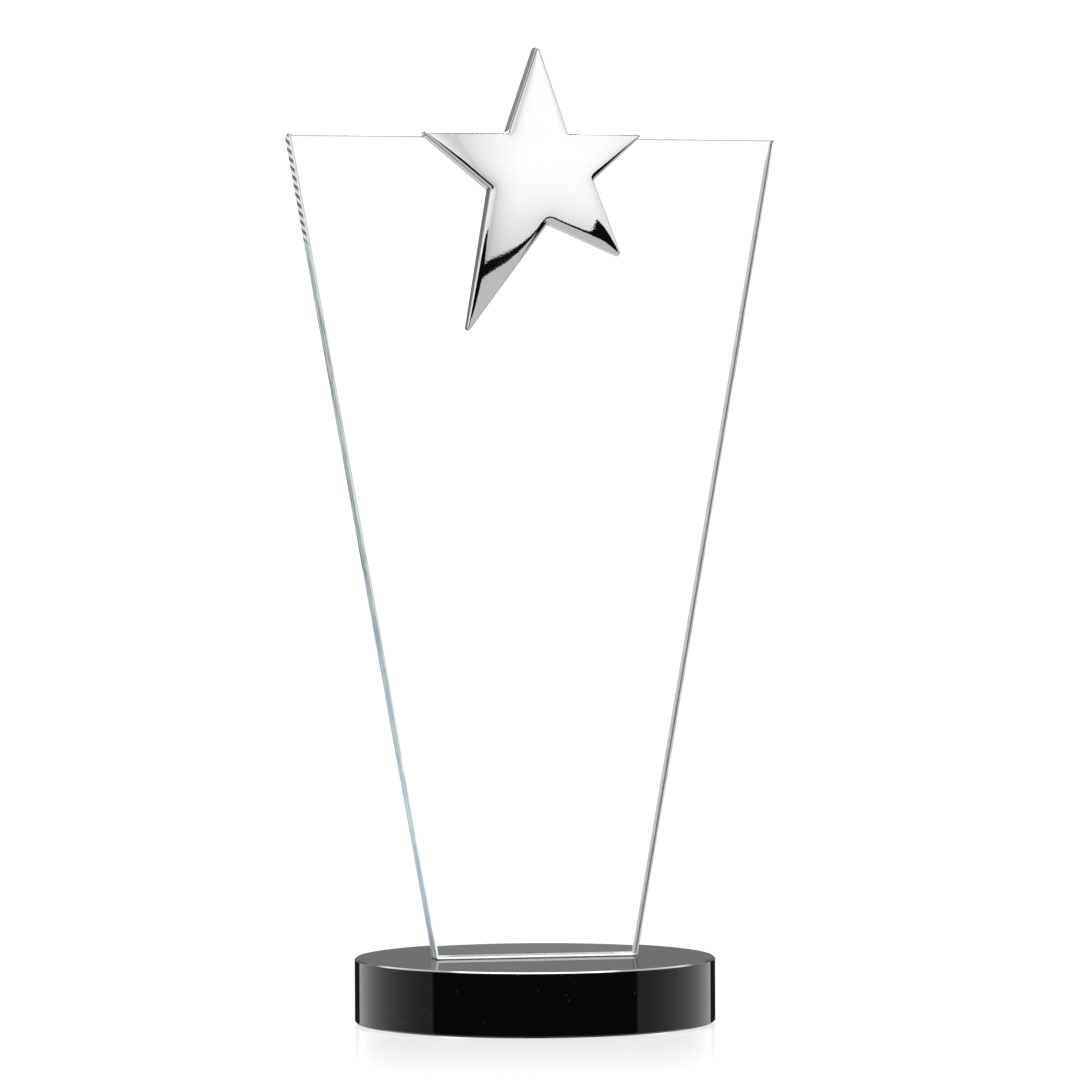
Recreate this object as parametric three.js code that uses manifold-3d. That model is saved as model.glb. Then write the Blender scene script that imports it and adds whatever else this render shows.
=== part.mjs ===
// Star award: a chrome-plated star bonded to a tapered clear glass panel that stands on a round black glass base.
// Millimetres. +Z is up, the star faces -Y, and the origin is under the centre of the base, on the table.

import * as THREE from 'three';
import { mergeVertices } from 'three/addons/utils/BufferGeometryUtils.js';
import Module from 'manifold-3d';

// ---- Driving dimensions ----

// Clear stick-on bumpers under the base.
const footDiameter = 9.5;
const footHeight = 0.5;
const footTaper = 0.25; // how much smaller the radius is at the table than at the base
const footInset = 12.5; // from the edge of the base to a bumper's centre
const footNames = ['foot_rear_right', 'foot_rear_left', 'foot_front_left', 'foot_front_right'];

// Black glass disc.
const baseDiameter = 113;
const baseHeight = 20;
const baseBevel = 0.5;

// Clear glass panel, a symmetrical taper.
const panelHeight = 257;
const panelTopWidth = 155;
const panelFootWidth = 64;
const panelThickness = 10;
const panelBevel = 0.6;

// Clear adhesive films, and how far each keeps back from the edge of what it holds.
const filmThickness = 0.25;
const filmMargin = 1;

// Star. Its corners are [across, up] from its centre, anticlockwise as seen from the front, before rounding.
const starTop = [0, 42.1];
const starNotchTopLeft = [-9.8, 13.5];
const starLeft = [-37.5, 13.5];
const starNotchLeft = [-15.4, -4.6];
const starLongLeg = [-23, -51.3];
const starNotchBottom = [3.6, -15.3];
const starShortLeg = [27.7, -25.9];
const starNotchRight = [18.1, -1.6];
const starRight = [34.8, 13.5];
const starNotchTopRight = [9.8, 13.5];
const starTipRadius = 0.95;
const starNotchRadius = 0.5;
const starHeight = 6.3; // back face to the highest point of the face
const starDomeRadius = 668;
const starDomeRise = 22.3; // how far above the star's centre its face is highest
const starDraft = 0.35; // how far the wall leans in between the back face and the rim
const starRimWidth = 0.65;
const starRimRise = 0.5;
const starArmRise = 0.75; // the level arms' top edges stand this far above the glass

// How finely the round shapes are divided.
const discSegments = 96;
const footSegments = 24;
const cornerSteps = 4;
const edgeSteps = 6;
const rimSteps = 3;
const domeScales = [0.84, 0.66, 0.48, 0.3, 0.14];

// ---- Places worked out from the dimensions ----

const footCircleRadius = baseDiameter / 2 - footInset;
const baseBottom = footHeight;
const baseTop = baseBottom + baseHeight;
const panelBottom = baseTop + filmThickness;
const panelTop = panelBottom + panelHeight;
const panelFront = -panelThickness / 2;
const starBack = panelFront - filmThickness;
const starCentreZ = panelTop + starArmRise - starLeft[1];

// ---- Materials ----

const blackGlass = () => new THREE.MeshStandardMaterial({ color: 0x060607, roughness: 0.05, metalness: 0 });
const chrome = () => new THREE.MeshStandardMaterial({ color: 0xe2e4e6, roughness: 0.06, metalness: 1 });
const clear = (color, opacity) =>
  new THREE.MeshStandardMaterial({ color, roughness: 0.04, metalness: 0, transparent: true, opacity });

// ---- Shape helpers ----

// A closed solid from rings of [x, y, z] points. The rings run from the back to the front, each anticlockwise as seen
// from the front. The back ring is closed flat, and the front one too, unless an apex point is given.
function loft(rings, apex) {
  const count = rings[0].length;
  const indices = [];
  for (let r = 0; r < rings.length - 1; r += 1) {
    for (let i = 0; i < count; i += 1) {
      const next = (i + 1) % count;
      const a = r * count + i;
      const b = r * count + next;
      const c = (r + 1) * count + next;
      const d = (r + 1) * count + i;
      indices.push(a, b, c, a, c, d);
    }
  }
  const flat = (ring) => THREE.ShapeUtils.triangulateShape(ring.map(([x, , z]) => new THREE.Vector2(x, z)), []);
  for (const [a, b, c] of flat(rings[0])) {
    indices.push(c, b, a);
  }
  const front = (rings.length - 1) * count;
  const points = rings.flat();
  if (apex) {
    for (let i = 0; i < count; i += 1) {
      indices.push(front + i, front + ((i + 1) % count), points.length);
    }
    points.push(apex);
  } else {
    for (const [a, b, c] of flat(rings.at(-1))) {
      indices.push(front + a, front + b, front + c);
    }
  }
  const geometry = new THREE.BufferGeometry();
  geometry.setAttribute('position', new THREE.Float32BufferAttribute(points.flat(), 3));
  geometry.setIndex(indices);
  geometry.computeVertexNormals();
  return geometry;
}

// A solid of revolution about +Z from [radius, height] points.
function turned(profile, segments) {
  const points = profile.map(([radius, height]) => new THREE.Vector2(radius, height));
  return new THREE.LatheGeometry(points, segments).rotateX(Math.PI / 2);
}

// The corners of a polygon, anticlockwise, after every side has moved inwards by the same distance.
function insetCorners(corners, inset) {
  const sides = corners.map((p, i) => {
    const q = corners[(i + 1) % corners.length];
    const length = Math.hypot(q[0] - p[0], q[1] - p[1]);
    const along = [(q[0] - p[0]) / length, (q[1] - p[1]) / length];
    return { along, start: [p[0] - along[1] * inset, p[1] + along[0] * inset] };
  });
  return sides.map((side, i) => {
    const last = sides.at(i - 1);
    const turn = last.along[0] * side.along[1] - last.along[1] * side.along[0];
    const gap = [side.start[0] - last.start[0], side.start[1] - last.start[1]];
    const reach = (gap[0] * side.along[1] - gap[1] * side.along[0]) / turn;
    return [last.start[0] + last.along[0] * reach, last.start[1] + last.along[1] * reach];
  });
}

// ---- Star outline ----

const starCorners = [
  starTop, starNotchTopLeft, starLeft, starNotchLeft, starLongLeg,
  starNotchBottom, starShortLeg, starNotchRight, starRight, starNotchTopRight,
];

// One corner's arc: points on a circle that touches the sides before and after it.
function cornerArc(before, corner, after, radius) {
  const unit = (from, to) => {
    const length = Math.hypot(to[0] - from[0], to[1] - from[1]);
    return [(to[0] - from[0]) / length, (to[1] - from[1]) / length];
  };
  const inward = unit(before, corner);
  const outward = unit(corner, after);
  const turn = Math.atan2(
    inward[0] * outward[1] - inward[1] * outward[0],
    inward[0] * outward[0] + inward[1] * outward[1],
  );
  const reach = radius * Math.tan(Math.abs(turn) / 2);
  const start = [corner[0] - inward[0] * reach, corner[1] - inward[1] * reach];
  const side = Math.sign(turn);
  const centre = [start[0] - inward[1] * radius * side, start[1] + inward[0] * radius * side];
  return Array.from({ length: cornerSteps + 1 }, (_, k) => {
    const angle = (turn * k) / cornerSteps;
    const arm = [start[0] - centre[0], start[1] - centre[1]];
    return [
      centre[0] + arm[0] * Math.cos(angle) - arm[1] * Math.sin(angle),
      centre[1] + arm[0] * Math.sin(angle) + arm[1] * Math.cos(angle),
    ];
  });
}

// The star's outline moved inwards: tips (every even corner) get sharper as it goes in, notches get rounder.
function starOutline(inset) {
  const corners = insetCorners(starCorners, inset);
  const sharpest = 0.05;
  const arcs = corners.map((corner, i) => {
    const isTip = i % 2 === 0;
    const radius = isTip ? Math.max(starTipRadius - inset, sharpest) : starNotchRadius + inset;
    return cornerArc(corners.at(i - 1), corner, corners[(i + 1) % corners.length], radius);
  });
  return arcs.flatMap((arc, i) => {
    const from = arc.at(-1);
    const to = arcs[(i + 1) % arcs.length][0];
    const side = Array.from({ length: edgeSteps - 1 }, (_, k) => {
      const t = (k + 1) / edgeSteps;
      return [from[0] + (to[0] - from[0]) * t, from[1] + (to[1] - from[1]) * t];
    });
    return [...arc, ...side];
  });
}

// The face is a paraboloid about a point in the upper arm.
const domeHeight = ([x, z]) => starHeight - (x * x + (z - starDomeRise) ** 2) / (2 * starDomeRadius);

// ---- Pieces ----

function baseDisc() {
  const radius = baseDiameter / 2;
  const profile = [
    [0, baseBottom],
    [radius - baseBevel, baseBottom],
    [radius, baseBottom + baseBevel],
    [radius, baseTop - baseBevel],
    [radius - baseBevel, baseTop],
    [0, baseTop],
  ];
  return turned(profile, discSegments);
}

function foot() {
  const radius = footDiameter / 2;
  return turned([[0, 0], [radius - footTaper, 0], [radius, footHeight], [0, footHeight]], footSegments);
}

// The panel's outline seen from the front, and the same outline inside its bevels.
function crystalPanel() {
  const corners = [
    [-panelFootWidth / 2, panelBottom],
    [panelFootWidth / 2, panelBottom],
    [panelTopWidth / 2, panelTop],
    [-panelTopWidth / 2, panelTop],
  ];
  const ring = (inset, y) => insetCorners(corners, inset).map(([x, z]) => [x, y, z]);
  return loft([
    ring(panelBevel, -panelFront),
    ring(0, -panelFront - panelBevel),
    ring(0, panelFront + panelBevel),
    ring(panelBevel, panelFront),
  ]);
}

function panelBond() {
  const width = panelFootWidth - 2 * (panelBevel + filmMargin);
  const depth = panelThickness - 2 * (panelBevel + filmMargin);
  return new THREE.BoxGeometry(width, depth, filmThickness).translate(0, 0, baseTop + filmThickness / 2);
}

function star() {
  const ring = (outline, height) => outline.map((p) => [p[0], starBack - height(p), starCentreZ + p[1]]);
  const rings = [ring(starOutline(0), () => 0)];
  for (let k = 0; k <= rimSteps; k += 1) {
    const angle = (Math.PI / 2) * (k / rimSteps);
    const inset = starDraft + starRimWidth * (1 - Math.cos(angle));
    rings.push(ring(starOutline(inset), (p) => domeHeight(p) - starRimRise * (1 - Math.sin(angle))));
  }
  const face = starOutline(starDraft + starRimWidth);
  for (const scale of domeScales) {
    rings.push(ring(face.map(([x, z]) => [x * scale, z * scale]), domeHeight));
  }
  return loft(rings, [0, starBack - domeHeight([0, 0]), starCentreZ]);
}

// The film behind the star covers its back wherever there is flat glass behind it.
function starBond(wasm) {
  const ring = (y) => starOutline(filmMargin).map(([x, z]) => [x, y, starCentreZ + z]);
  const sheet = loft([ring(panelFront), ring(starBack)]);
  const glassEdge = panelTop - panelBevel - filmMargin;
  const glass = new THREE.BoxGeometry(panelTopWidth, panelThickness, panelHeight);
  glass.translate(0, panelFront, glassEdge - panelHeight / 2);
  return fromSolid(toSolid(wasm, sheet).intersect(toSolid(wasm, glass)));
}

// ---- Cutting one solid with another ----

function toSolid(wasm, geometry) {
  const bare = geometry.clone();
  bare.deleteAttribute('normal');
  bare.deleteAttribute('uv');
  const merged = mergeVertices(bare);
  return new wasm.Manifold(
    new wasm.Mesh({
      numProp: 3,
      vertProperties: new Float32Array(merged.attributes.position.array),
      triVerts: new Uint32Array(merged.index.array),
    }),
  );
}

function fromSolid(solid) {
  const { vertProperties, triVerts, numProp } = solid.getMesh();
  const positions = new Float32Array((vertProperties.length / numProp) * 3);
  for (let i = 0; i < positions.length / 3; i += 1) {
    positions.set(vertProperties.subarray(i * numProp, i * numProp + 3), i * 3);
  }
  const geometry = new THREE.BufferGeometry();
  geometry.setAttribute('position', new THREE.BufferAttribute(positions, 3));
  geometry.setIndex(Array.from(triVerts));
  geometry.computeVertexNormals();
  return geometry;
}

// ---- Assembly ----

const wasm = await Module();
wasm.setup();

const award = new THREE.Group();

function add(name, geometry, material) {
  const mesh = new THREE.Mesh(geometry, material);
  mesh.name = name;
  award.add(mesh);
  return mesh;
}

footNames.forEach((name, i) => {
  const angle = Math.PI / 4 + (i * Math.PI) / 2;
  const mesh = add(name, foot(), clear(0xd8dad8, 0.6));
  mesh.position.set(footCircleRadius * Math.cos(angle), footCircleRadius * Math.sin(angle), 0);
});
add('base_disc', baseDisc(), blackGlass());
add('panel_bond', panelBond(), clear(0xf2f4f2, 0.5));
add('crystal_panel', crystalPanel(), clear(0xf4fbf8, 0.3));
add('star_bond', starBond(wasm), clear(0xf2f4f2, 0.5));
add('star', star(), chrome());

export default award;
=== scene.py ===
import math

import bpy
import numpy as np
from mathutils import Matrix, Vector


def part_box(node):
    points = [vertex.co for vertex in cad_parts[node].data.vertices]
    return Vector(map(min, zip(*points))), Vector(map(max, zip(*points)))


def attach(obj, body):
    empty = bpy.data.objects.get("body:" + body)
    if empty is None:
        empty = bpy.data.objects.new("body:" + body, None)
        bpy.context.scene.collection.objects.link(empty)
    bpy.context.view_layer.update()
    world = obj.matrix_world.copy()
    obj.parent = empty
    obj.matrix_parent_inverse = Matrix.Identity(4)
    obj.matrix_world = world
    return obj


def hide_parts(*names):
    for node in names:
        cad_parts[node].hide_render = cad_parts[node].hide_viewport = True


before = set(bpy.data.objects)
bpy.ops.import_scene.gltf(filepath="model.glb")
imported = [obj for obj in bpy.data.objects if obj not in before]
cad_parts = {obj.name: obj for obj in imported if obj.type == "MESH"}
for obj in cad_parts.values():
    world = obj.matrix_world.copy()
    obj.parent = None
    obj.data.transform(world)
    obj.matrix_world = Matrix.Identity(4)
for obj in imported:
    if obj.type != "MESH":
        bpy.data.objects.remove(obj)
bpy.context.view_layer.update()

bl_info = {
    "name": "Star award",
    "version": (1, 0, 0),
    "blender": (4, 5, 0),
    "location": "View3D > Sidebar > Award",
    "description": "Finishes a chrome star on a clear glass panel and a black glass base",
    "category": "Object",
}

MM = 0.001
ARC_STEPS = 4
BASE_SEGMENTS = 256
BUMPER_SEGMENTS = 48


def half_width(node, axis):
    """Half of a CAD node's extent along an axis, in metres."""
    low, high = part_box(node)
    return (high[axis] - low[axis]) / 2


# ---- Star outline, in metres from its centre, [across, up], anticlockwise from the front ----

STAR_CORNERS = MM * np.array([
    [0, 42.1], [-9.8, 13.5], [-37.5, 13.5], [-15.4, -4.6], [-23, -51.3],
    [3.6, -15.3], [27.7, -25.9], [18.1, -1.6], [34.8, 13.5], [9.8, 13.5],
])
SHARPEST_TIP = 0.05 * MM
TIP_STEPS = 12
SIDE_STEPS = 40
BACK_SHARES = (0.25, 0.5, 0.75, 0.97, 0.995, 1)
RIM_STEPS = 12
FACE_STEPS = 64
FACE_CROWDING = 1.15


# ---- Numpy shape functions ----

def unit(vectors):
    """Each vector divided by its own length."""
    return vectors / np.linalg.norm(vectors, axis=-1, keepdims=True)


def cross(a, b):
    """The flat cross product: how far b turns anticlockwise from a, times both lengths."""
    return a[..., 0] * b[..., 1] - a[..., 1] * b[..., 0]


def left_of(vectors):
    """Each flat vector turned a quarter turn anticlockwise."""
    return np.stack([-vectors[..., 1], vectors[..., 0]], -1)


def inset_corners(corners, inset):
    """A polygon whose every side has moved inwards by the same distance: each side's line is shifted
    along its inward normal, and each new corner is where the lines of two neighbouring sides cross."""
    along = unit(np.roll(corners, -1, 0) - corners)
    start = corners + inset * left_of(along)
    before, last = np.roll(along, 1, 0), np.roll(start, 1, 0)
    reach = cross(start - last, along) / cross(before, along)
    return last + before * reach[:, None]


def corner_arcs(corners, before, after, radii, steps):
    """The points of an arc for each corner, from the directions of the sides before and after it. The
    arc's circle touches both sides, so it starts radius times the tangent of half the turn before the
    corner, and each point is the centre plus the first arm turned by an even share of the turn."""
    turn = np.arctan2(cross(before, after), (before * after).sum(-1))
    reach = radii * np.tan(np.abs(turn) / 2)
    begin = corners - before * reach[:, None]
    centre = begin + (np.sign(turn) * radii)[:, None] * left_of(before)
    arm = (begin - centre)[:, None]
    angles = (turn[:, None] * np.linspace(0, 1, steps + 1))[..., None]
    return centre[:, None] + arm * np.cos(angles) + left_of(arm) * np.sin(angles)


def rounded_outline(corners, radii, corner_steps, side_steps):
    """A polygon with an arc in place of each corner, and each side between two arcs divided evenly."""
    along = unit(np.roll(corners, -1, 0) - corners)
    arcs = corner_arcs(corners, np.roll(along, 1, 0), along, radii, corner_steps)
    share = np.linspace(0, 1, side_steps + 1)[1:-1, None]
    ends, starts = arcs[:, -1:], np.roll(arcs[:, :1], -1, 0)
    sides = ends + (starts - ends) * share
    return np.concatenate([arcs, sides], 1).reshape(-1, 2)


def star_outline(star, inset):
    """The star's outline moved inwards. Tips get sharper and notches get rounder, by the inset."""
    tips = np.arange(len(STAR_CORNERS)) % 2 == 0
    radii = np.where(tips, np.maximum(star.tip_radius - inset, SHARPEST_TIP), star.notch_radius + inset)
    return rounded_outline(inset_corners(STAR_CORNERS, inset), radii, TIP_STEPS, SIDE_STEPS)


def edge_distance(points):
    """A smooth distance from the star's outline: one over the square root of half the integral, along
    every side, of one over the cubed distance to that side's points. Near one side it is the plain
    distance, and between two sides it rounds the ridge over."""
    tiny = 1e-10
    start, end = STAR_CORNERS, np.roll(STAR_CORNERS, -1, 0)
    along = unit(end - start)
    from_start = points[..., None, :] - start
    height2 = cross(from_start, along) ** 2 + tiny
    s1 = -(from_start * along).sum(-1)
    s2 = s1 + np.linalg.norm(end - start, axis=-1)
    integral = (s2 / np.sqrt(height2 + s2 ** 2) - s1 / np.sqrt(height2 + s1 ** 2)) / height2
    return np.sqrt(2 / integral.sum(-1))


def face_height(star, points):
    """Height of the star's face over its back: a paraboloid that falls from its highest point as the
    square of the distance over twice the dome radius, less a wide roll and a narrow lip that both fade as
    the exponential of the distance from the outline."""
    from_top = points - np.array([0, star.dome_rise])
    dome = star.height - (from_top ** 2).sum(-1) / (2 * star.dome_radius)
    inwards = edge_distance(points)
    roll = star.edge_fall * np.exp(-inwards / star.edge_reach)
    lip = star.lip_fall * np.exp(-inwards / star.lip_reach)
    return dome - roll - lip


def make_mesh(name, points, faces):
    """A smooth-shaded object at the origin from an array of points and a list of face index arrays."""
    mesh = bpy.data.meshes.new(name)
    mesh.from_pydata(points.reshape(-1, 3).tolist(), [], [f for group in faces for f in group.tolist()])
    mesh.polygons.foreach_set("use_smooth", np.ones(len(mesh.polygons), bool))
    mesh.validate()
    mesh.update()
    piece = bpy.data.objects.new(name, mesh)
    bpy.context.scene.collection.objects.link(piece)
    return piece


def ring_grid(rings, around, first=0):
    """Quads between neighbouring rings of a closed grid, with row r and column i at index first + r *
    around + i."""
    row, i = np.meshgrid(np.arange(rings - 1), np.arange(around), indexing="ij")
    nxt = (i + 1) % around
    a, b = first + row * around + i, first + row * around + nxt
    return np.stack([a, b, b + around, a + around], -1).reshape(-1, 4)


def fan(ring_start, around, tip, flip):
    """Triangles from a ring of points to one tip point."""
    i = np.arange(around)
    a, b = ring_start + i, ring_start + (i + 1) % around
    faces = np.stack([a, b, np.full(around, tip)], -1)
    return faces[:, ::-1] if flip else faces


def closed_rings(name, rings, first_tip, last_tip):
    """A closed skin through rings of the same count, gathered to one point at each end."""
    count, around = rings.shape[:2]
    points = np.concatenate([rings.reshape(-1, 3), [first_tip], [last_tip]])
    faces = [
        ring_grid(count, around),
        fan(0, around, count * around, True),
        fan((count - 1) * around, around, count * around + 1, False),
    ]
    return make_mesh(name, points, faces)


def fillet_profile(points, radii, steps):
    """An open profile whose inner corners are replaced by touching arcs, with a support point just
    outside each arc so that the flats next to it stay flat in smooth shading."""
    inner = points[1:-1]
    before, after = unit(inner - points[:-2]), unit(points[2:] - inner)
    arcs = corner_arcs(inner, before, after, radii, steps)
    support = 0.5 * radii[:, None]
    ahead = arcs[:, :1] - (before * support)[:, None]
    beyond = arcs[:, -1:] + (after * support)[:, None]
    rows = np.concatenate([ahead, arcs, beyond], 1)
    return np.concatenate([points[:1], rows.reshape(-1, 2), points[-1:]])


def lathe(name, profile, segments, centre=(0.0, 0.0)):
    """A solid of revolution: each (radius, height) of the profile is carried round a circle about an
    upright axis. The first and last profile points lie on the axis."""
    angles = np.linspace(0, 2 * math.pi, segments, endpoint=False)
    ring = np.stack([np.cos(angles), np.sin(angles)], -1)
    body = profile[1:-1]
    heights = np.broadcast_to(body[:, None, 1:], (len(body), segments, 1))
    rings = np.concatenate([body[:, None, :1] * ring + np.array(centre), heights], -1)
    return closed_rings(name, rings, (*centre, profile[0, 1]), (*centre, profile[-1, 1]))


# ---- Node helpers ----

def put(tree, socket, value):
    """Links a socket to another, or sets it to a plain value."""
    if isinstance(value, bpy.types.NodeSocket):
        tree.links.new(value, socket)
    elif value is not None:
        socket.default_value = value


def calc(tree, operation, a, b=None, c=None):
    """One Math node."""
    node = tree.nodes.new("ShaderNodeMath")
    node.operation = operation
    for socket, value in zip(node.inputs, (a, b, c)):
        put(tree, socket, value)
    return node.outputs[0]


def ramp(tree, value, low, high, at_low=0.0, at_high=1.0):
    """A smooth step from at_low, where value is low, to at_high, where it is high."""
    node = tree.nodes.new("ShaderNodeMapRange")
    node.interpolation_type = "SMOOTHSTEP"
    for socket, v in zip(node.inputs, (value, low, high, at_low, at_high)):
        put(tree, socket, v)
    return node.outputs[0]


def window(tree, value, low, high, soft):
    """1 where value is between low and high, with soft shoulders inside, and 0 elsewhere."""
    opens = ramp(tree, value, low, low + soft)
    closes = ramp(tree, value, high - soft, high, 1.0, 0.0)
    return calc(tree, "MULTIPLY", opens, closes)


def blend(tree, factor, a, b):
    """a where factor is 0 and b where it is 1, for numbers."""
    node = tree.nodes.new("ShaderNodeMix")
    node.data_type = "FLOAT"
    for socket, value in zip((node.inputs[0], node.inputs[2], node.inputs[3]), (factor, a, b)):
        put(tree, socket, value)
    return node.outputs[0]


def tint(tree, factor, a, b):
    """A colour mix from a to b."""
    node = tree.nodes.new("ShaderNodeMix")
    node.data_type = "RGBA"
    for socket, value in zip((node.inputs[0], node.inputs[6], node.inputs[7]), (factor, a, b)):
        put(tree, socket, value)
    return node.outputs[2]


def noise(tree, per_metre, detail=2.0, roughness=0.5, stretch=None):
    """Noise on the piece's own coordinates, with so many features to the metre."""
    coords = tree.nodes.new("ShaderNodeTexCoord").outputs["Object"]
    if stretch:
        mapping = tree.nodes.new("ShaderNodeMapping")
        mapping.inputs["Scale"].default_value = stretch
        tree.links.new(coords, mapping.inputs["Vector"])
        coords = mapping.outputs["Vector"]
    node = tree.nodes.new("ShaderNodeTexNoise")
    tree.links.new(coords, node.inputs["Vector"])
    node.inputs["Scale"].default_value = per_metre
    node.inputs["Detail"].default_value = detail
    node.inputs["Roughness"].default_value = roughness
    return node.outputs["Fac"]


def place(tree, coordinates="Object"):
    """The across, depth and upward parts of a place on a piece, or of a direction in the room."""
    separate = tree.nodes.new("ShaderNodeSeparateXYZ")
    tree.links.new(tree.nodes.new("ShaderNodeTexCoord").outputs[coordinates], separate.inputs[0])
    return separate.outputs


def bump(tree, height, depth):
    """A Bump node whose height field spans so many metres."""
    node = tree.nodes.new("ShaderNodeBump")
    node.inputs["Strength"].default_value = 1.0
    node.inputs["Distance"].default_value = depth
    tree.links.new(height, node.inputs["Height"])
    return node.outputs["Normal"]


def finish(name, values):
    """A new material and its Principled shader, with plain socket values set."""
    material = bpy.data.materials.new(name)
    material.use_nodes = True
    shader = material.node_tree.nodes["Principled BSDF"]
    for socket, value in values.items():
        shader.inputs[socket].default_value = value
    return material, material.node_tree, shader


# ---- Materials ----

def black_glass(base):
    """Opaque black glass: polished, with wipe marks in the gloss, fine dust and a slow ripple left by the
    wheel."""
    material, tree, shader = finish("black_glass", {"IOR": base.ior, "Base Color": (*base.colour, 1)})
    smear = noise(tree, 60, detail=4, roughness=0.6, stretch=(1, 0.35, 1))
    dust = ramp(tree, noise(tree, 1300, detail=0), 0.835, 0.87)
    tree.links.new(ramp(tree, smear, 0.35, 0.8, 0.012, 0.05), shader.inputs["Roughness"])
    deep = tuple(0.4 * c for c in base.colour)
    glass = tint(tree, noise(tree, 25), (*deep, 1), (*base.colour, 1))
    tree.links.new(tint(tree, dust, glass, (0.05, 0.05, 0.045, 1)), shader.inputs["Base Color"])
    tree.links.new(bump(tree, noise(tree, 45), 2e-6), shader.inputs["Normal"])
    return material


def painted_side_light(tree, z, foot_z):
    """Colour of the glass's side faces, all painted light: grey-green painted reflections in streaks
    along them, paler and bluer towards the foot, with painted blue and yellow glints."""
    # Painted light: grey-green streaks along the side faces
    fine = ramp(tree, noise(tree, 800, stretch=(0, 1, 0.065)), 0.4, 0.6)
    grey = tint(tree, fine, (0.1, 0.14, 0.12, 1), (0.66, 0.76, 0.7, 1))
    low_down = ramp(tree, z, foot_z + 20 * MM, foot_z + 130 * MM, 0.55, 0.0)
    streaks = tint(tree, low_down, grey, (0.68, 0.8, 0.95, 1))
    # Painted highlights: blue and yellow glints
    blue = ramp(tree, noise(tree, 500, roughness=0.6, stretch=(0, 1, 0.085)), 0.57, 0.62)
    streaks = tint(tree, blue, streaks, (0.3, 0.4, 1.0, 1))
    yellow = ramp(tree, noise(tree, 650, roughness=0.6, stretch=(0, 1, 0.1)), 0.4, 0.34)
    return tint(tree, yellow, streaks, (0.92, 0.9, 0.5, 1))


def painted_band_and_marks(tree, panel, streaks, y, z, top_z, on_left):
    """The streaks, with a paler band of painted light near the top of the left side face, and on it
    slanting dark marks of painted shade from small slanting facets. The marks follow the sine of a full
    turn times the slanted height over the mark pitch."""
    zone = calc(tree, "MULTIPLY", on_left, ramp(tree, z, top_z - 37 * MM, top_z - 31 * MM))
    # Painted light: a paler band near the top of the left side face
    paler = tint(tree, calc(tree, "MULTIPLY", zone, 0.75), streaks, (0.85, 0.92, 0.82, 1))
    slanted = calc(tree, "MULTIPLY_ADD", y, -0.25, z)
    # Painted shade: slanting dark marks of small facets
    wave = calc(tree, "SINE", calc(tree, "MULTIPLY", slanted, 2 * math.pi / panel.mark_pitch))
    facet_shade = calc(tree, "MULTIPLY", ramp(tree, wave, -0.1, 0.3), zone)
    clear_of_front = ramp(tree, y, -4.5 * MM, -2.5 * MM)
    return tint(tree, calc(tree, "MULTIPLY", facet_shade, clear_of_front), paler, (0.012, 0.025, 0.015, 1))


def painted_right_edge_line(tree, ground, y, on_left):
    """The side faces' colour, with a dark line of painted shade down the middle of the right side face
    and a band of painted light behind it."""
    # Painted shade line and painted light band on the right side face
    painted_line_and_band = tint(
        tree, ramp(tree, y, 1.8 * MM, 2.8 * MM), (0.008, 0.016, 0.011, 1), (0.9, 0.93, 0.91, 1))
    rear_part = ramp(tree, y, -1.6 * MM, -0.8 * MM, 0.0, 0.93)
    return tint(tree, blend(tree, on_left, rear_part, 0.0), ground, painted_line_and_band)


def clear_glass(panel):
    """Water-clear optical glass: a trace of green, and a slight waviness from polishing. Its narrow side
    and top faces let little light through, and their colour is painted light that stands in for light
    caught in the glass coming out there."""
    material, tree, shader = finish("clear_glass", {"IOR": panel.ior})
    thick = tuple(0.985 * c for c in panel.colour)
    clear = tint(tree, noise(tree, 8), (*thick, 1), (*panel.colour, 1))

    low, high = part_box("crystal_panel")
    lean = (high[0] - panel.foot_width / 2) / (high[2] - low[2])
    x, y, z = place(tree)
    reach = calc(tree, "MULTIPLY_ADD", calc(tree, "SUBTRACT", z, low[2]), lean, panel.foot_width / 2)
    inwards = calc(tree, "SUBTRACT", reach, calc(tree, "ABSOLUTE", x))
    overlap = 0.3 * panel.bevel
    side = calc(tree, "LESS_THAN", inwards, overlap)
    rear = calc(tree, "GREATER_THAN", y, 0.0)
    raised = calc(tree, "MULTIPLY_ADD", rear, panel.bevel - overlap, z)
    top = calc(tree, "GREATER_THAN", raised, high[2] - overlap)
    # The side and top faces: these carry painted light and pass less light
    painted_edges = calc(tree, "MAXIMUM", side, top)

    on_left = calc(tree, "LESS_THAN", x, 0.0)
    # The side faces' colour is painted light in streaks and glints, with painted shade marks and a
    # painted dark line
    ground = painted_band_and_marks(tree, panel, painted_side_light(tree, z, low[2]), y, z, high[2], on_left)
    ground = painted_right_edge_line(tree, ground, y, on_left)
    # The top face is painted near white: painted light coming out of the glass
    ground = tint(tree, top, ground, (0.95, 0.97, 0.95, 1))
    tree.links.new(tint(tree, painted_edges, clear, ground), shader.inputs["Base Color"])
    tree.links.new(calc(tree, "MULTIPLY_ADD", painted_edges, -0.85, 1.0), shader.inputs["Transmission Weight"])
    tree.links.new(calc(tree, "MULTIPLY", painted_edges, 0.3), shader.inputs["Roughness"])
    tree.links.new(bump(tree, noise(tree, 40), 1e-6), shader.inputs["Normal"])
    return material


def adhesive(bond, name):
    """Cured clear adhesive: nearly colourless, with a few faint cloudy patches."""
    material, tree, shader = finish(name, {"IOR": bond.ior, "Roughness": 0.15, "Alpha": bond.opacity})
    cloud = ramp(tree, noise(tree, 180, detail=4), 0.4, 0.7)
    dull = tuple(0.88 * c for c in bond.colour)
    tree.links.new(tint(tree, cloud, (*bond.colour, 1), (*dull, 1)), shader.inputs["Base Color"])
    tree.links.new(ramp(tree, noise(tree, 90), 0.3, 0.7, 0.1, 0.28), shader.inputs["Roughness"])
    return material


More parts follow.
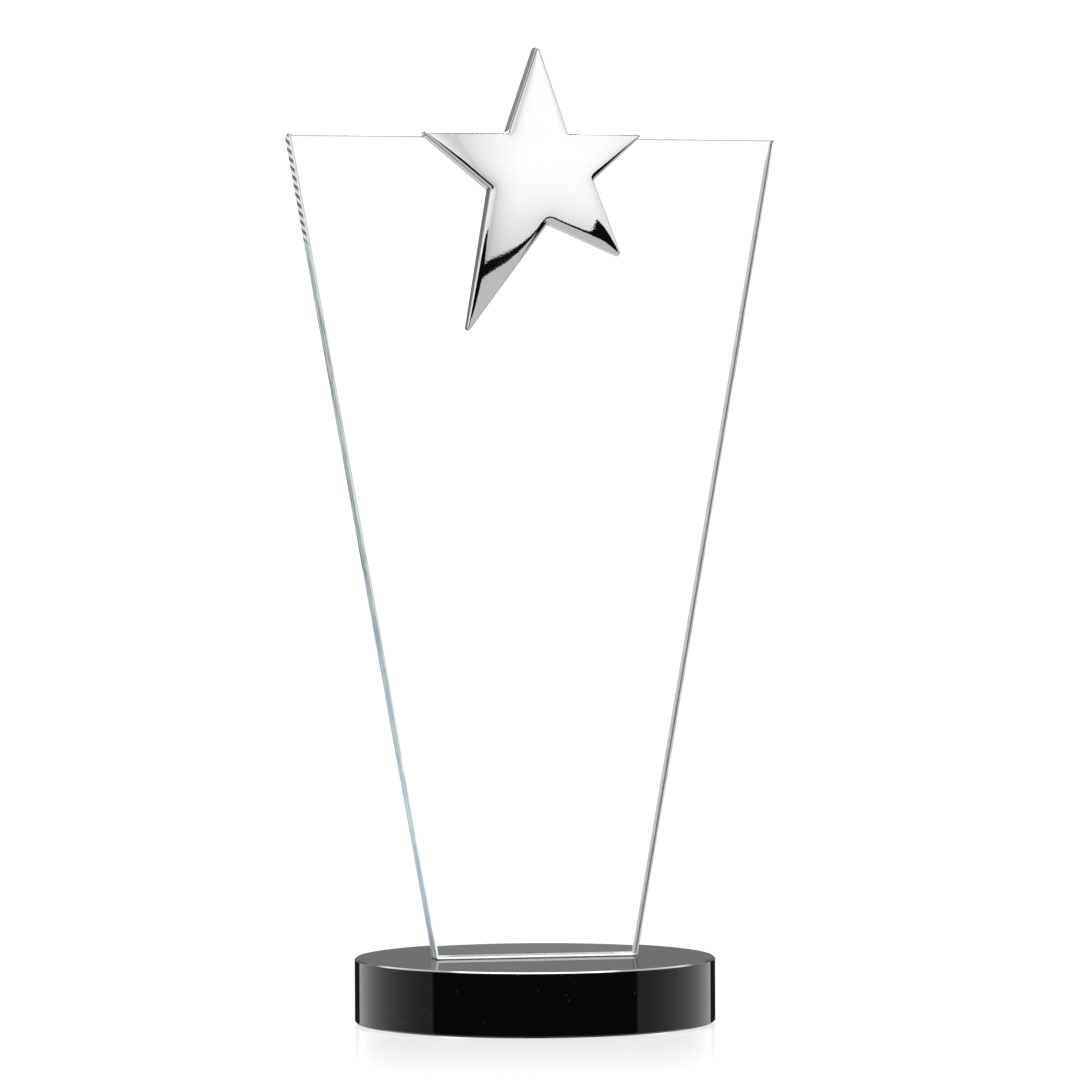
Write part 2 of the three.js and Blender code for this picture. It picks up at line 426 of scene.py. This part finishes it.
def chrome_plate(star):
    """Bright chrome: a mirror with fine orange peel from the plating and the faintest wipe haze."""
    material, tree, shader = finish("chrome_plate", {"Metallic": 1.0, "Base Color": (*star.colour, 1)})
    haze = noise(tree, 120, detail=4, roughness=0.6)
    tree.links.new(ramp(tree, haze, 0.45, 0.85, 0.012, 0.04), shader.inputs["Roughness"])
    dull = tuple(0.97 * c for c in star.colour)
    tree.links.new(tint(tree, haze, (*star.colour, 1), (*dull, 1)), shader.inputs["Base Color"])
    peel = bump(tree, noise(tree, 1900, detail=1), star.peel_depth)
    tree.links.new(peel, shader.inputs["Normal"])
    return material


def bumper_rubber(bumper):
    """Clear soft polyurethane: slightly milky, satin, with fine dust in its surface."""
    material, tree, shader = finish("bumper", {"IOR": 1.48, "Alpha": 0.75})
    milk = tuple(0.85 * c for c in bumper.colour)
    cloud = noise(tree, 400, detail=3)
    tree.links.new(tint(tree, cloud, (*bumper.colour, 1), (*milk, 1)), shader.inputs["Base Color"])
    dust = noise(tree, 900, detail=3)
    tree.links.new(ramp(tree, dust, 0.35, 0.7, 0.22, 0.4), shader.inputs["Roughness"])
    return material


# ---- Sizes and colours that can be changed ----

def length(name, description, default):
    """A size in metres."""
    return bpy.props.FloatProperty(
        name=name, description=description, default=default, min=0.0, unit="LENGTH", precision=5)


def angle(name, description, degrees):
    """An angle, stored in radians."""
    return bpy.props.FloatProperty(
        name=name, description=description, default=math.radians(degrees), subtype="ANGLE")


def number(name, description, default):
    """A plain number, such as a brightness or a refractive index."""
    return bpy.props.FloatProperty(name=name, description=description, default=default, precision=4)


def colour(name, description, default):
    """A colour, as linear red, green and blue."""
    return bpy.props.FloatVectorProperty(
        name=name, description=description, default=default, size=3, min=0, max=1, subtype="COLOR")


class AwardBase(bpy.types.PropertyGroup):
    bevel: length("Bevel", "Width of the ground bevels round the top and the bottom", 0.5 * MM)
    arris: length("Arris", "Radius of the polished corner at each side of a bevel", 0.15 * MM)
    ior: number("IOR", "Refractive index of the black glass", 1.52)
    colour: colour("Colour", "Colour of the black glass", (0.0025, 0.0025, 0.003))


class AwardPanel(bpy.types.PropertyGroup):
    foot_width: length("Foot width", "Width of the glass where it meets the base", 64 * MM)
    bevel: length("Bevel", "Width of the polished bevels on every edge", 0.6 * MM)
    arris: length("Arris", "Radius of the corner at each side of a bevel", 0.08 * MM)
    ior: number("IOR", "Refractive index of the clear glass", 1.5)
    # Spacing of the slanting dark marks painted as shade of small facets on the side faces
    mark_pitch: length("Mark pitch", "Spacing of the cutter marks on the side faces", 2.8 * MM)
    colour: colour("Colour", "Tint of the clear glass", (0.975, 0.995, 0.985))


class AwardStar(bpy.types.PropertyGroup):
    height: length("Height", "From the flat back to the highest point of the face", 6.3 * MM)
    dome_radius: length("Dome radius", "Radius of the face's gentle dome", 668 * MM)
    dome_rise: length("Dome rise", "How far above the star's centre its face is highest", 22.3 * MM)
    edge_fall: length("Edge fall", "How far the face rolls down towards its edges", 0.13 * MM)
    edge_reach: length("Edge reach", "How far in from the edge that roll reaches", 4.7 * MM)
    lip_fall: length("Lip fall", "How far the face drops close to the rim", 0.15 * MM)
    lip_reach: length("Lip reach", "How far in from the edge that drop reaches", 0.8 * MM)
    draft: length("Draft", "How far the wall leans in between the back and the rim", 0.35 * MM)
    rim_width: length("Rim width", "Width of the rolled rim, seen from the front", 0.65 * MM)
    rim_rise: length("Rim rise", "Height of the rolled rim", 0.5 * MM)
    tip_radius: length("Tip radius", "Radius of each tip, seen from the front", 0.95 * MM)
    notch_radius: length("Notch radius", "Radius of each inner corner, seen from the front", 0.5 * MM)
    peel_depth: length("Peel depth", "Height of the plating's fine orange peel", 1e-6)
    colour: colour("Colour", "Colour of the chrome", (0.905, 0.905, 0.905))


class AwardBonds(bpy.types.PropertyGroup):
    margin: length("Margin", "How far each film keeps back from the edge of what it holds", 1 * MM)
    clearance: length("Clearance", "Gap that keeps a film's skin off the glass", 0.01 * MM)
    ior: number("IOR", "Refractive index of the adhesive", 1.5)
    opacity: number("Opacity", "How solid the films look, from 0 to 1", 0.5)
    colour: colour("Colour", "Colour of the adhesive", (0.72, 0.74, 0.72))


class AwardBumpers(bpy.types.PropertyGroup):
    taper: length("Taper", "How much smaller the radius is at the table", 0.25 * MM)
    rounding: length("Rounding", "Radius of the soft lower edge", 0.2 * MM)
    upper_rounding: length("Upper rounding", "Radius of the edge that sits against the base", 0.02 * MM)
    colour: colour("Colour", "Colour of the soft plastic", (0.78, 0.8, 0.78))


class AwardStage(bpy.types.PropertyGroup):
    turn: angle("Turn", "How far round from the front the camera stands", -11.2)
    distance: length("Distance", "From the middle of the base to the camera, along the floor", 1.5495)
    height: length("Height", "Height of the camera over the floor", 0.1512)
    focal_length: number("Lens", "Focal length in millimetres", 164.67)
    aim: number("Aim", "Sideways shift of the view", 0.00644)
    roll: angle("Roll", "Roll of the camera", 0.25)
    backdrop: number("Backdrop", "Brightness of the backdrop", 1.15)
    overhead: number("Overhead", "Brightness of the light overhead", 26.0)
    fill: number("Fill", "Brightness of the soft light all round", 1.3)
    floor_light: number("Floor light", "Brightness of the open floor", 1.04)
    floor_gloss: number("Floor gloss", "How well the floor mirrors near the base", 0.9)


# ---- Operators ----

class AWARD_OT_base(bpy.types.Operator):
    """Turn the black glass base with polished bevels"""
    bl_idname = "award.base"
    bl_label = "Base disc"

    def execute(self, context):
        base = context.scene.award_base
        low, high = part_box("base_disc")
        radius = half_width("base_disc", 0)
        corners = np.array([
            [0, low[2]],
            [radius - base.bevel, low[2]],
            [radius, low[2] + base.bevel],
            [radius, high[2] - base.bevel],
            [radius - base.bevel, high[2]],
            [0, high[2]],
        ])
        profile = fillet_profile(corners, np.full(4, base.arris), ARC_STEPS)
        disc = lathe("black_base", profile, BASE_SEGMENTS)
        disc.data.materials.append(black_glass(base))
        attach(disc, "root")
        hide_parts("base_disc")
        return {"FINISHED"}


class AWARD_OT_panel(bpy.types.Operator):
    """Grind the tapered clear glass panel with bevels on every edge"""
    bl_idname = "award.panel"
    bl_label = "Glass panel"

    def execute(self, context):
        panel = context.scene.award_panel
        low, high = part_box("crystal_panel")
        half_top, half_foot, half_depth = high[0], panel.foot_width / 2, high[1]
        corners = np.array([
            [-half_foot, low[2]], [half_foot, low[2]], [half_top, high[2]], [-half_top, high[2]],
        ])
        bevel, arris = panel.bevel, panel.arris
        margin, side_steps = 4 * bevel, 8
        across = np.array([
            [-margin, half_depth], [-bevel, half_depth], [0, half_depth - bevel],
            [0, bevel - half_depth], [-bevel, -half_depth], [-margin, -half_depth],
        ])
        profile = fillet_profile(across, np.full(4, arris), ARC_STEPS)
        rings = []
        for inset, depth in profile:
            inner = inset_corners(corners, -inset)
            outline = rounded_outline(inner, np.full(4, arris), ARC_STEPS, side_steps)
            rings.append(np.stack([outline[:, 0], np.full(len(outline), depth), outline[:, 1]], -1))
        rings = np.array(rings)
        count, around = rings.shape[:2]
        rear_face = np.arange(around)[None, ::-1]
        front_face = ((count - 1) * around + np.arange(around))[None]
        slab = make_mesh("glass_panel", rings, [ring_grid(count, around), rear_face, front_face])
        slab.data.materials.append(clear_glass(panel))
        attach(slab, "root")
        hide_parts("crystal_panel")
        return {"FINISHED"}


class AWARD_OT_star(bpy.types.Operator):
    """Cast the chrome star: flat back, leaning wall, rolled rim and gently domed face"""
    bl_idname = "award.star"
    bl_label = "Chrome star"

    def execute(self, context):
        star = context.scene.award_star
        _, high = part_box("star")
        back = high[1]
        centre_z = star_centre(star)

        def ring(outline, height):
            heights = np.broadcast_to(height, len(outline))
            return np.stack([outline[:, 0], back - heights, centre_z + outline[:, 1]], -1)

        edge = star_outline(star, 0)
        rings = [ring(edge * share, 0) for share in BACK_SHARES]
        for turn in np.linspace(0, math.pi / 2, RIM_STEPS + 1):
            outline = star_outline(star, star.draft + star.rim_width * (1 - math.cos(turn)))
            rings.append(ring(outline, face_height(star, outline) - star.rim_rise * (1 - math.sin(turn))))
        inner = star_outline(star, star.draft + star.rim_width)
        for share in 1 - np.linspace(0, 1, FACE_STEPS + 1)[1:-1] ** FACE_CROWDING:
            rings.append(ring(inner * share, face_height(star, inner * share)))
        middle = face_height(star, np.zeros((1, 2)))[0]
        tips = (0, back, centre_z), (0, back - middle, centre_z)
        body = closed_rings("chrome_star", np.array(rings), *tips)
        body.data.materials.append(chrome_plate(star))
        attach(body, "root")
        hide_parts("star")
        return {"FINISHED"}


def star_tip_cut(star):
    """How far rounding the upper tip lowers it: the radius over the sine of half the tip's angle, less
    the radius."""
    to_left, to_right = STAR_CORNERS[1] - STAR_CORNERS[0], STAR_CORNERS[-1] - STAR_CORNERS[0]
    half = math.acos(float(unit(to_left) @ unit(to_right))) / 2
    return star.tip_radius / math.sin(half) - star.tip_radius


def star_centre(star):
    """Height of the star's centre: that of its upper tip, less how far the rounded tip reaches."""
    _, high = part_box("star")
    return high[2] - (STAR_CORNERS[0, 1] - star_tip_cut(star))


class AWARD_OT_bonds(bpy.types.Operator):
    """Lay the clear adhesive films behind the star and under the glass"""
    bl_idname = "award.bonds"
    bl_label = "Adhesive films"

    def execute(self, context):
        bonds, star = context.scene.award_bonds, context.scene.award_star
        low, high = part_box("star_bond")
        centre_z = star_centre(star)
        outline = star_outline(star, bonds.margin)
        outline[:, 1] = np.minimum(outline[:, 1], high[2] - centre_z)
        gap, halfway = bonds.clearance, 0.5
        rear, front = high[1] - gap, low[1] + gap
        rings = []
        for share, y in ((halfway, rear), (1, rear), (1, front), (halfway, front)):
            across, up = outline[:, 0] * share, centre_z + outline[:, 1] * share
            rings.append(np.stack([across, np.full(len(outline), y), up], -1))
        film = closed_rings("star_film", np.array(rings), (0, rear, centre_z), (0, front, centre_z))
        film.data.materials.append(adhesive(bonds, "star_adhesive"))
        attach(film, "root")
        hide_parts("star_bond")

        low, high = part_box("panel_bond")
        corners = np.array([[low[0], low[1]], [high[0], low[1]], [high[0], high[1]], [low[0], high[1]]])
        foot, top, side_steps = low[2] + gap, high[2] - gap, 12
        outline = rounded_outline(corners, np.full(4, 2 * bonds.margin), 2 * ARC_STEPS, side_steps)
        rings = [
            np.concatenate([outline * share, np.full((len(outline), 1), z)], -1)
            for share, z in ((halfway, foot), (1, foot), (1, top), (halfway, top))
        ]
        film = closed_rings("panel_film", np.array(rings), (0, 0, foot), (0, 0, top))
        film.data.materials.append(adhesive(bonds, "panel_adhesive"))
        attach(film, "root")
        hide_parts("panel_bond")
        return {"FINISHED"}


class AWARD_OT_bumpers(bpy.types.Operator):
    """Stick the four clear bumpers under the base"""
    bl_idname = "award.bumpers"
    bl_label = "Bumpers"

    def execute(self, context):
        bumpers = context.scene.award_bumpers
        material = bumper_rubber(bumpers)
        for node in sorted(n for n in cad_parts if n.startswith("foot_")):
            low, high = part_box(node)
            centre = ((low[0] + high[0]) / 2, (low[1] + high[1]) / 2)
            radius = (high[0] - low[0]) / 2
            corners = np.array([
                [0, low[2]], [radius - bumpers.taper, low[2]], [radius, high[2]], [0, high[2]],
            ])
            roundings = np.array([bumpers.rounding, bumpers.upper_rounding])
            profile = fillet_profile(corners, roundings, ARC_STEPS)
            foot = lathe(node.replace("foot", "bumper"), profile, BUMPER_SEGMENTS, centre)
            foot.data.materials.append(material)
            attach(foot, "root")
            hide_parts(node)
        return {"FINISHED"}


class AWARD_OT_stage(bpy.types.Operator):
    """Set the pale floor, the soft studio light and the camera"""
    bl_idname = "award.stage"
    bl_label = "Stage"

    def execute(self, context):
        stage = context.scene.award_stage
        floor = pale_floor(stage)
        light_studio(context.scene, stage)

        data = bpy.data.cameras.new("camera")
        data.lens, data.sensor_width = stage.focal_length, 36.0
        data.shift_x = stage.aim
        data.clip_start, data.clip_end = 0.01, 200
        camera = bpy.data.objects.new("camera", data)
        context.scene.collection.objects.link(camera)
        camera.location = (
            stage.distance * math.sin(stage.turn), -stage.distance * math.cos(stage.turn), stage.height)
        camera.rotation_mode = "XYZ"
        camera.rotation_euler = (math.pi / 2, stage.roll, stage.turn)
        context.scene.camera = camera
        context.scene.view_settings.view_transform = "Standard"
        return {"FINISHED"}


def pale_floor(stage):
    """The floor: it gives off an even light; close round the base that light is dimmed as painted shade,
    and there the floor mirrors softly."""
    half_side, edge_of_base, mirror_end, painted_shade = 40.0, 56 * MM, 190 * MM, 0.25
    corners = np.array([[-1, -1, 0], [1, -1, 0], [1, 1, 0], [-1, 1, 0]]) * half_side
    floor = make_mesh("floor", corners, [np.arange(4)[None]])
    material = bpy.data.materials.new("floor")
    material.use_nodes = True
    tree = material.node_tree
    tree.nodes.remove(tree.nodes["Principled BSDF"])
    where = tree.nodes.new("ShaderNodeVectorMath")
    where.operation = "LENGTH"
    tree.links.new(tree.nodes.new("ShaderNodeTexCoord").outputs["Object"], where.inputs[0])
    near = ramp(tree, where.outputs["Value"], edge_of_base, mirror_end, 1.0, 0.0)
    glow = tree.nodes.new("ShaderNodeEmission")
    # Painted shade: the floor's light is dimmed close round the base
    put(tree, glow.inputs["Strength"], calc(tree, "MULTIPLY_ADD", near, -painted_shade, stage.floor_light))
    gloss = tree.nodes.new("ShaderNodeBsdfGlossy")
    put(tree, gloss.inputs["Color"], calc(tree, "MULTIPLY", near, stage.floor_gloss))
    gloss.inputs["Roughness"].default_value = 0.1
    both = tree.nodes.new("ShaderNodeAddShader")
    tree.links.new(glow.outputs[0], both.inputs[0])
    tree.links.new(gloss.outputs[0], both.inputs[1])
    tree.links.new(both.outputs[0], tree.nodes["Material Output"].inputs["Surface"])
    floor.data.materials.append(material)
    floor.visible_glossy = False
    floor.visible_transmission = False
    return floor


def front_wall(tree, height, turned):
    """Brightness of the wall before the award: darker low down, darkest at a seam left of its middle and
    a little darker at its right end. A black strip runs under it, wider at both ends, and grey floor lies
    under the strip. Angles are in degrees."""
    by_height = ramp(tree, height, -7.5, 1.5, 0.68, 1.12)
    left_part = ramp(tree, turned, 2.5, 6.0, 0.85, 0.62)
    shade_at_left = ramp(tree, turned, 3.5, 10.5, 0.58, 1.0)
    shade_at_right = ramp(tree, turned, 14.0, 21.0, 1.0, 0.8)
    right_part = calc(tree, "MULTIPLY", shade_at_left, shade_at_right)
    by_side = blend(tree, ramp(tree, turned, 5.8, 6.1), left_part, right_part)
    wall = calc(tree, "MULTIPLY", by_height, by_side)

    strip_top, strip_foot, soft = -4.9, -5.95, 0.1
    strip_black, floor_grey = 0.004, 0.55
    rise = calc(
        tree, "ADD", ramp(tree, turned, 3.2, 5.2, 2.6, 0.0), ramp(tree, turned, 13.5, 16.5, 0.0, 2.9))
    over = calc(tree, "SUBTRACT", height, rise)
    wall = blend(tree, ramp(tree, over, strip_top, strip_top + soft, 1.0, 0.0), wall, strip_black)
    drop = calc(
        tree, "ADD", ramp(tree, turned, 3.0, 5.0, 2.5, 0.0), ramp(tree, turned, 15.0, 17.0, 0.0, 4.0))
    under = calc(tree, "ADD", height, drop)
    return blend(tree, ramp(tree, under, strip_foot, strip_foot + soft), floor_grey, wall)


def add_rear_and_overhead(tree, stage, room, height, off_axis):
    """Adds what stands beside, behind and over the award: a side wall that gets brighter towards the
    back, a rear wall that is black at its foot and bright high up, over a grey table, a dim ceiling
    before and behind, and strong lights overhead and high at the rear corners. Angles are in degrees."""
    at_sides = calc(
        tree, "MULTIPLY", ramp(tree, off_axis, 67, 69), ramp(tree, off_axis, 150, 153, 1.0, 0.0))
    room = blend(tree, at_sides, room, ramp(tree, off_axis, 68, 150, 0.3, 1.15))

    table_and_foot = ramp(tree, height, -13.0, -8.0, 0.4, 0.02)
    low_wall = blend(tree, ramp(tree, height, 0.0, 3.5), table_and_foot, 0.26)
    rear_wall = blend(tree, ramp(tree, height, 12, 30), low_wall, 1.0)
    room = blend(tree, ramp(tree, off_axis, 150, 155), room, rear_wall)

    rear_ceiling, front_ceiling, corner_share = 0.35, 0.2, 0.3
    high_up = ramp(tree, height, 26, 36)
    at_rear = calc(tree, "MULTIPLY", ramp(tree, off_axis, 95, 105), high_up)
    room = blend(tree, at_rear, room, rear_ceiling)
    rear_corners = calc(tree, "MULTIPLY", window(tree, off_axis, 95, 150, 10.0), high_up)
    room = blend(tree, rear_corners, room, corner_share * stage.overhead)
    in_front = calc(
        tree, "MULTIPLY", window(tree, height, 12, 79, 6.0), ramp(tree, off_axis, 50, 60, 1.0, 0.0))
    room = blend(tree, in_front, room, front_ceiling)
    lower_at_sides = calc(tree, "MULTIPLY_ADD", window(tree, off_axis, 55, 150, 12.0), 14.0, height)
    return blend(tree, ramp(tree, lower_at_sides, 73, 81), room, stage.overhead)


def light_at_glass_edges(tree, stage, path, room, height, turned):
    """What is seen through the glass: the backdrop, with a grey card to one side and a dimmer part to the
    other, where light only passes through, and a grey room where the glass has turned it inside first.
    Angles are in degrees."""
    left_glass = path.outputs["Is Transmission Ray"]
    turns = calc(tree, "SUBTRACT", path.outputs["Ray Depth"], path.outputs["Transmission Depth"])
    only_passed = calc(tree, "LESS_THAN", turns, 1.5)

    guided = ramp(tree, height, -40, 30, 0.5, 0.8)
    guided = blend(tree, window(tree, turned, -182, -150, 2.0), guided, 0.12)
    above_base = calc(
        tree, "MULTIPLY", window(tree, turned, 158, 180, 1.0), window(tree, height, 3.0, 10.0, 0.5))
    guided = blend(tree, above_base, guided, 0.24)
    room = blend(tree, left_glass, room, guided)

    card = window(tree, turned, -167.5, -157, 1.0)
    backdrop = blend(tree, card, stage.backdrop, 0.55)
    glow = blend(tree, ramp(tree, height, 1.2, 3.0), 1.0, 0.64)
    glow = blend(tree, ramp(tree, height, -5.0, -2.5), 0.42, glow)
    seen_through = blend(tree, window(tree, turned, 134, 154, 3.0), backdrop, glow)
    return blend(tree, calc(tree, "MULTIPLY", left_glass, only_passed), room, seen_through)


def light_studio(scene, stage):
    """The studio's light, set by direction. Seen directly it is a plain white backdrop. A polished
    surface mirrors the walls and lights, what is seen through the glass has a card of its own, and a matt
    surface gets even light from all round, a little more of it through glass."""
    world = bpy.data.worlds.new("studio")
    world.use_nodes = True
    tree = world.node_tree
    output = tree.nodes["Background"]
    x, y, z = place(tree, "Generated")
    degrees = 180 / math.pi
    height = calc(tree, "MULTIPLY", calc(tree, "ARCSINE", z), degrees)
    turned = calc(tree, "MULTIPLY", calc(tree, "ARCTAN2", x, calc(tree, "MULTIPLY", y, -1.0)), degrees)
    off_axis = calc(tree, "ABSOLUTE", calc(tree, "SUBTRACT", turned, math.degrees(stage.turn)))

    room = front_wall(tree, height, turned)
    room = add_rear_and_overhead(tree, stage, room, height, off_axis)
    path = tree.nodes.new("ShaderNodeLightPath")
    room = light_at_glass_edges(tree, stage, path, room, height, turned)
    fill_through_glass = 1.2 * stage.fill
    fill = blend(tree, path.outputs["Is Transmission Ray"], stage.fill, fill_through_glass)
    from_matt = calc(tree, "GREATER_THAN", path.outputs["Diffuse Depth"], 0.5)
    room = blend(tree, from_matt, room, fill)
    light = blend(tree, path.outputs["Is Camera Ray"], room, stage.backdrop)
    put(tree, output.inputs["Strength"], light)
    output.inputs["Color"].default_value = (1, 1, 1, 1)
    world.cycles.sampling_method = "NONE"
    scene.world = world


class AWARD_PT_panel(bpy.types.Panel):
    """The award's pieces and sizes"""
    bl_idname = "AWARD_PT_panel"
    bl_label = "Star award"
    bl_space_type = "VIEW_3D"
    bl_region_type = "UI"
    bl_category = "Award"

    def draw(self, context):
        for operator, key in STEPS:
            box = self.layout.box()
            box.operator(operator.bl_idname)
            settings = getattr(context.scene, key)
            for name in settings.bl_rna.properties.keys():
                if name not in ("rna_type", "name"):
                    box.prop(settings, name)


GROUPS = {
    "award_base": AwardBase,
    "award_panel": AwardPanel,
    "award_star": AwardStar,
    "award_bonds": AwardBonds,
    "award_bumpers": AwardBumpers,
    "award_stage": AwardStage,
}
STEPS = [
    (AWARD_OT_base, "award_base"),
    (AWARD_OT_panel, "award_panel"),
    (AWARD_OT_star, "award_star"),
    (AWARD_OT_bonds, "award_bonds"),
    (AWARD_OT_bumpers, "award_bumpers"),
    (AWARD_OT_stage, "award_stage"),
]


def register():
    for key, group in GROUPS.items():
        bpy.utils.register_class(group)
        setattr(bpy.types.Scene, key, bpy.props.PointerProperty(type=group))
    for operator, _ in STEPS:
        bpy.utils.register_class(operator)
    bpy.utils.register_class(AWARD_PT_panel)


def unregister():
    bpy.utils.unregister_class(AWARD_PT_panel)
    for operator, _ in reversed(STEPS):
        bpy.utils.unregister_class(operator)
    for key, group in GROUPS.items():
        delattr(bpy.types.Scene, key)
        bpy.utils.unregister_class(group)


def main():
    register()
    for operator, _ in STEPS:
        family, name = operator.bl_idname.split(".")
        getattr(getattr(bpy.ops, family), name)()


if __name__ == "__main__":
    main()
